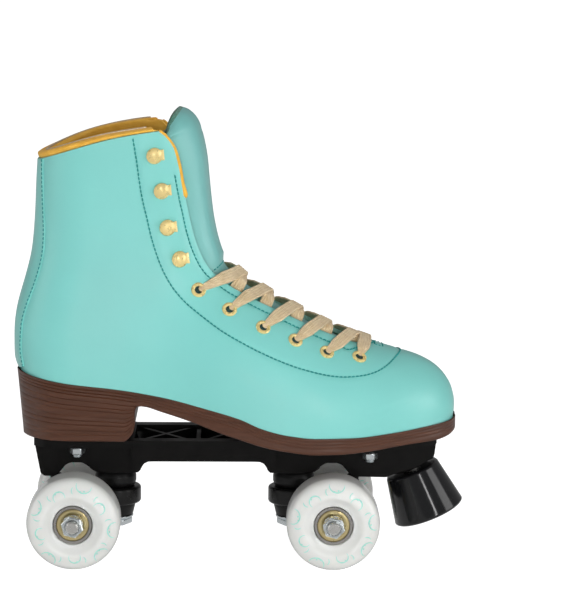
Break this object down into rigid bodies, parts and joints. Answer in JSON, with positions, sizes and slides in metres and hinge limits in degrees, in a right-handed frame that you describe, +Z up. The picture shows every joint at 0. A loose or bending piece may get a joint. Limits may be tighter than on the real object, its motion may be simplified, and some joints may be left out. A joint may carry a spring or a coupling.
{
  "type": "quad roller skate",
  "caption": "High-top lace-up boot on a black plate with two steering trucks, white roller wheels on ball bearings and a slanted rubber toe stop",
  "frame": {"origin": "centre of the overall box in plan, on the floor: the wheels' lowest points are at z = 0", "axes": "+Z up, +X forward to the toe, +Y to the wearer's left, which is the inner side of this right-foot skate"},
  "size_m": [0.2647, 0.1248, 0.2653],
  "materials": {
    "turquoise_leather": "smooth glossy coated synthetic leather",
    "mustard_textile": "knitted textile lining over foam",
    "insole_foam": "fabric-covered foam",
    "brown_sole": "moulded, satin, grooved edge",
    "cream_lace": "flat woven cotton",
    "gold_lacquer": "pale gold lacquer on pressed metal",
    "black_nylon": "moulded glass-filled nylon, satin",
    "black_rubber": "moulded, glossy",
    "white_urethane": "cast polyurethane, satin gloss",
    "zinc": "zinc plated",
    "steel": "plain bright steel",
    "cast_alloy": "black-coated casting",
    "cushion_rubber": "moulded urethane rubber"
  },
  "bodies": {
    "boot_and_chassis": {"boot_upper": "turquoise_leather", "collar_lining": "mustard_textile", "tongue": "turquoise_leather", "insole": "insole_foam", "outsole": "brown_sole", "laces": "cream_lace", "eyelets_left": "gold_lacquer", "eyelets_right": "gold_lacquer", "hooks_left": "gold_lacquer", "hooks_right": "gold_lacquer", "chassis_plate": "black_nylon", "sole_bolt_rear_right": "steel", "sole_bolt_rear_left": "steel", "sole_bolt_front_right": "steel", "sole_bolt_front_left": "steel", "sole_nut_rear_right": "zinc", "sole_nut_rear_left": "zinc", "sole_nut_front_right": "zinc", "sole_nut_front_left": "zinc", "kingpin_front": "steel", "kingpin_rear": "steel", "kingpin_nut_front": "zinc", "kingpin_nut_rear": "zinc", "retainer_washer_front": "zinc", "retainer_washer_rear": "zinc", "cushion_upper_front": "cushion_rubber", "cushion_upper_rear": "cushion_rubber", "cushion_lower_front": "cushion_rubber", "cushion_lower_rear": "cushion_rubber", "pivot_cup_front": "cushion_rubber", "pivot_cup_rear": "cushion_rubber", "toe_stop": "black_rubber", "toe_stop_bolt": "steel"},
    "front_truck": {"truck_hanger_front": "cast_alloy", "axle_front": "steel", "bearing_spacer_front_right": "steel", "bearing_spacer_front_left": "steel", "axle_nut_front_right": "zinc", "axle_nut_front_left": "zinc"},
    "rear_truck": {"truck_hanger_rear": "cast_alloy", "axle_rear": "steel", "bearing_spacer_rear_right": "steel", "bearing_spacer_rear_left": "steel", "axle_nut_rear_right": "zinc", "axle_nut_rear_left": "zinc"},
    "front_right_wheel": {"wheel_front_right": "white_urethane", "bearing_front_right_outer": "steel", "bearing_front_right_inner": "steel"},
    "front_left_wheel": {"wheel_front_left": "white_urethane", "bearing_front_left_outer": "steel", "bearing_front_left_inner": "steel"},
    "rear_right_wheel": {"wheel_rear_right": "white_urethane", "bearing_rear_right_outer": "steel", "bearing_rear_right_inner": "steel"},
    "rear_left_wheel": {"wheel_rear_left": "white_urethane", "bearing_rear_left_outer": "steel", "bearing_rear_left_inner": "steel"}
  },
  "joints": [
    {"name": "front_truck_steer", "type": "hinge", "parent": "boot_and_chassis", "child": "front_truck", "pos_m": [0.03195, 0, 0.0337], "axis": [0.8734, 0, 0.487], "range_deg": [-8, 8], "stiffness_Nm_per_rad": 3, "deforming": ["cushion_upper_front", "cushion_lower_front"]},
    {"name": "rear_truck_steer", "type": "hinge", "parent": "boot_and_chassis", "child": "rear_truck", "pos_m": [-0.07365, 0, 0.0337], "axis": [-0.8734, 0, 0.487], "range_deg": [-8, 8], "stiffness_Nm_per_rad": 3, "deforming": ["cushion_upper_rear", "cushion_lower_rear"]},
    {"name": "front_right_wheel_spin", "type": "hinge", "parent": "front_truck", "child": "front_right_wheel", "pos_m": [0.05415, -0.042, 0.027], "axis": [0, 1, 0], "continuous": true},
    {"name": "front_left_wheel_spin", "type": "hinge", "parent": "front_truck", "child": "front_left_wheel", "pos_m": [0.05415, 0.042, 0.027], "axis": [0, 1, 0], "continuous": true},
    {"name": "rear_right_wheel_spin", "type": "hinge", "parent": "rear_truck", "child": "rear_right_wheel", "pos_m": [-0.09585, -0.042, 0.027], "axis": [0, 1, 0], "continuous": true},
    {"name": "rear_left_wheel_spin", "type": "hinge", "parent": "rear_truck", "child": "rear_left_wheel", "pos_m": [-0.09585, 0.042, 0.027], "axis": [0, 1, 0], "continuous": true}
  ]
}
